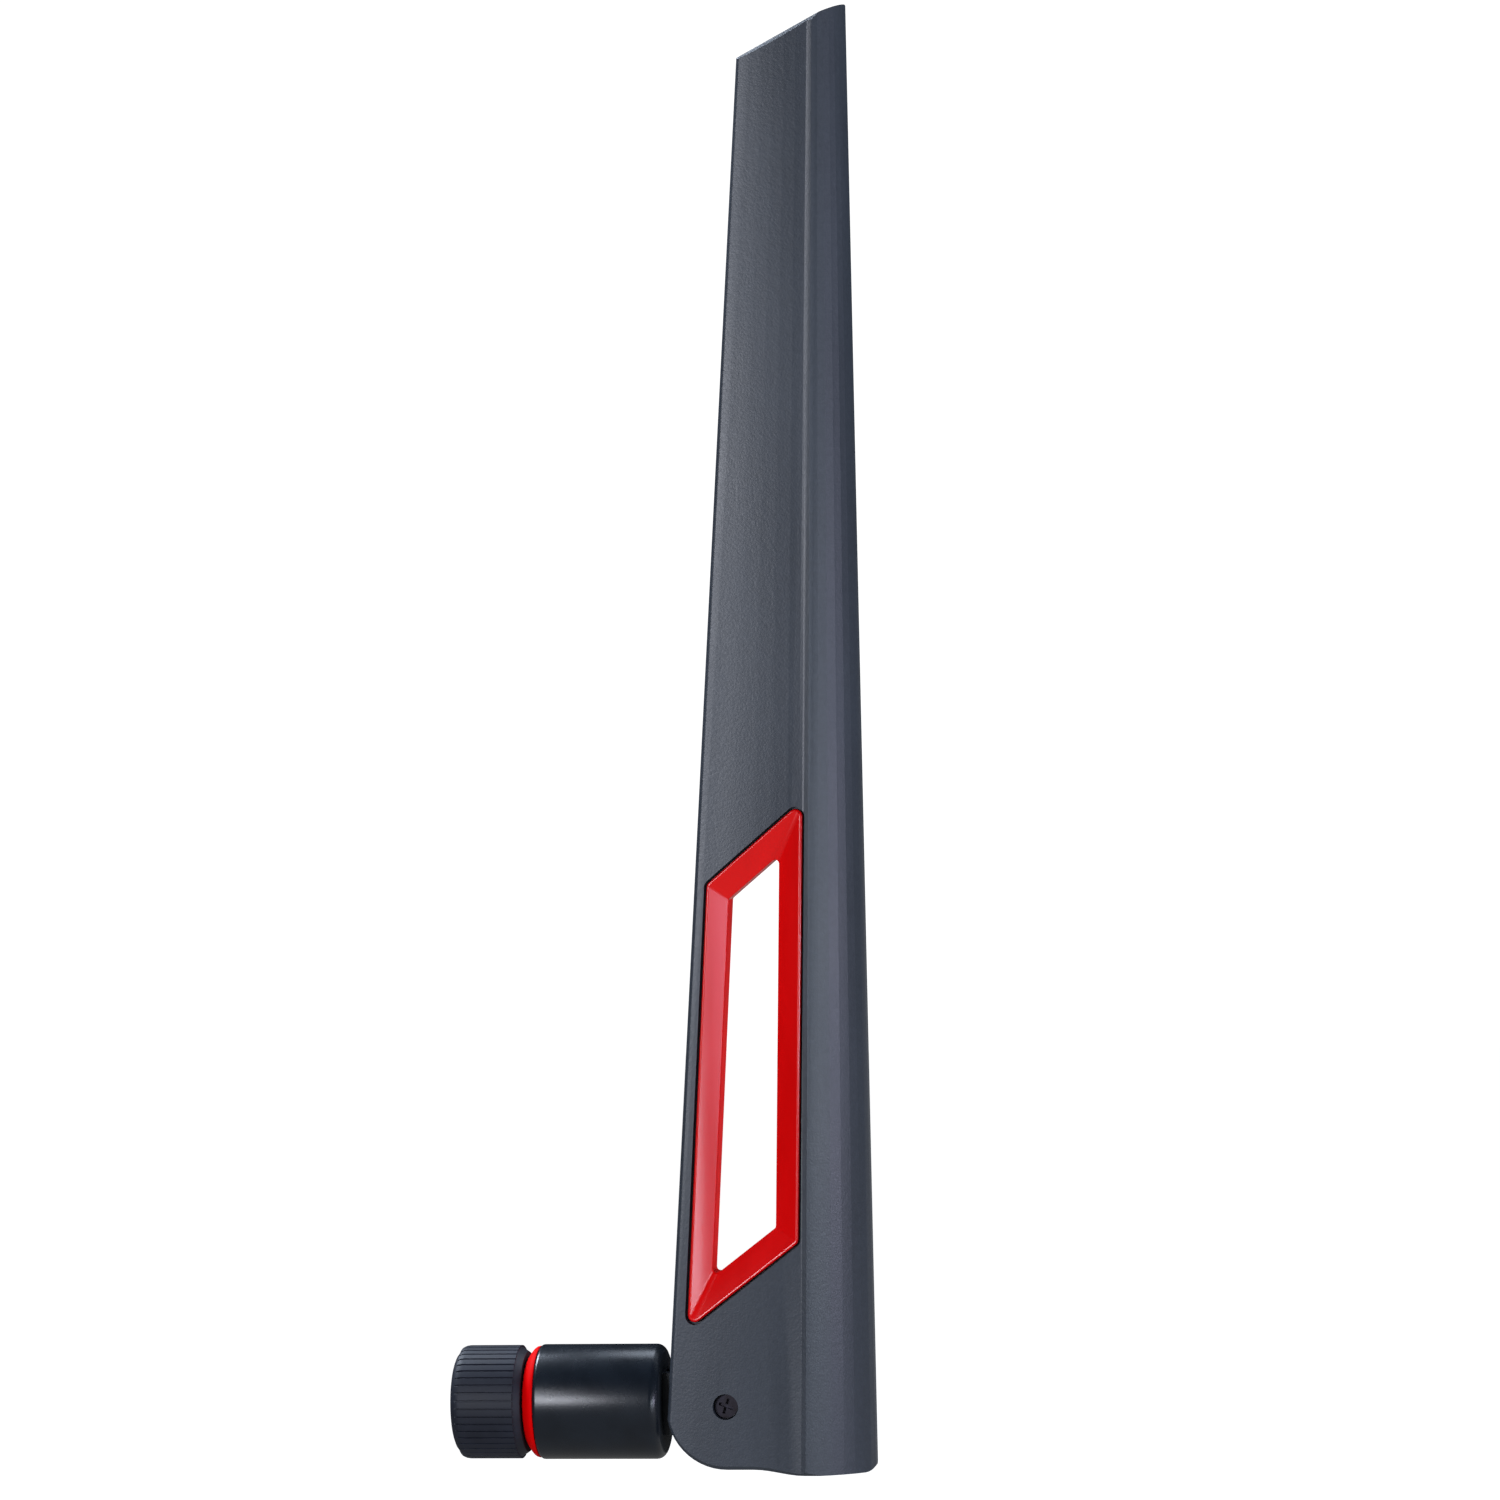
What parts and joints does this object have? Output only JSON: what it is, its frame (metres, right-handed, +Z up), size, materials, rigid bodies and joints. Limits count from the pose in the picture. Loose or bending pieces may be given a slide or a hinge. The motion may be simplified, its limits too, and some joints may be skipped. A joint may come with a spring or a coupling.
{
  "type": "wifi antenna",
  "caption": "Paddle antenna for a wireless router: a tapered blade with a framed window, folding on a swivelling stem with a ribbed coaxial coupling nut.",
  "frame": {"origin": "centre of the coupling nut's threaded mouth, on the connector's axis", "axes": "+X along the stem towards the hinge, +Z up along the blade, -Y towards the front with the hinge screw"},
  "size_m": [0.0549, 0.0148, 0.1887],
  "materials": {
    "nut_plastic": "satin moulded plastic, bluish black",
    "stem_plastic": "satin moulded plastic, bluish black",
    "blade_plastic": "finely textured matte plastic, dark grey",
    "red_gloss": "glossy moulded plastic, red",
    "brass": "turned brass, gold plated",
    "gold_contact": "gold plated contact",
    "spring_steel": "spring steel",
    "screw_steel": "blackened steel",
    "crimp_metal": "plated crimp sleeve",
    "white_insulator": "white fluoropolymer",
    "natural_plastic": "natural bearing plastic",
    "black_sleeve": "shrunk sleeve",
    "cable_jacket": "smooth cable jacket",
    "board_laminate": "circuit board laminate",
    "copper": "bare copper",
    "solder": "solder",
    "foam": "soft foam"
  },
  "bodies": {
    "connector": {"connector_body": "brass", "dielectric": "white_insulator", "centre_contact": "gold_contact", "snap_ring": "spring_steel", "crimp_ferrule": "crimp_metal", "heat_shrink": "black_sleeve", "swivel_clip": "spring_steel"},
    "nut": {"nut_grip": "nut_plastic", "coupling_nut": "brass"},
    "stem": {"stem_barrel": "stem_plastic", "swivel_bush": "natural_plastic", "swivel_washer": "spring_steel", "accent_ring": "red_gloss", "coax_cable": "cable_jacket"},
    "blade": {"front_shell": "blade_plastic", "rear_shell": "blade_plastic", "front_bezel": "red_gloss", "rear_bezel": "red_gloss", "friction_washer_front": "natural_plastic", "friction_washer_rear": "natural_plastic", "pivot_screw": "screw_steel", "antenna_board": "board_laminate", "board_copper": "copper", "feed_solder": "solder", "foam_pad_front": "foam", "foam_pad_rear": "foam"}
  },
  "joints": [
    {"name": "nut_spin", "type": "hinge", "parent": "connector", "child": "nut", "pos_m": [0, 0, 0], "axis": [1, 0, 0], "continuous": true},
    {"name": "swivel", "type": "hinge", "parent": "connector", "child": "stem", "pos_m": [0.018, 0, 0], "axis": [1, 0, 0], "range_deg": [-180, 180]},
    {"name": "tilt", "type": "hinge", "parent": "stem", "child": "blade", "pos_m": [0.03561, 0, 0], "axis": [0, 1, 0], "range_deg": [0, 90], "deforming": ["coax_cable"]}
  ]
}
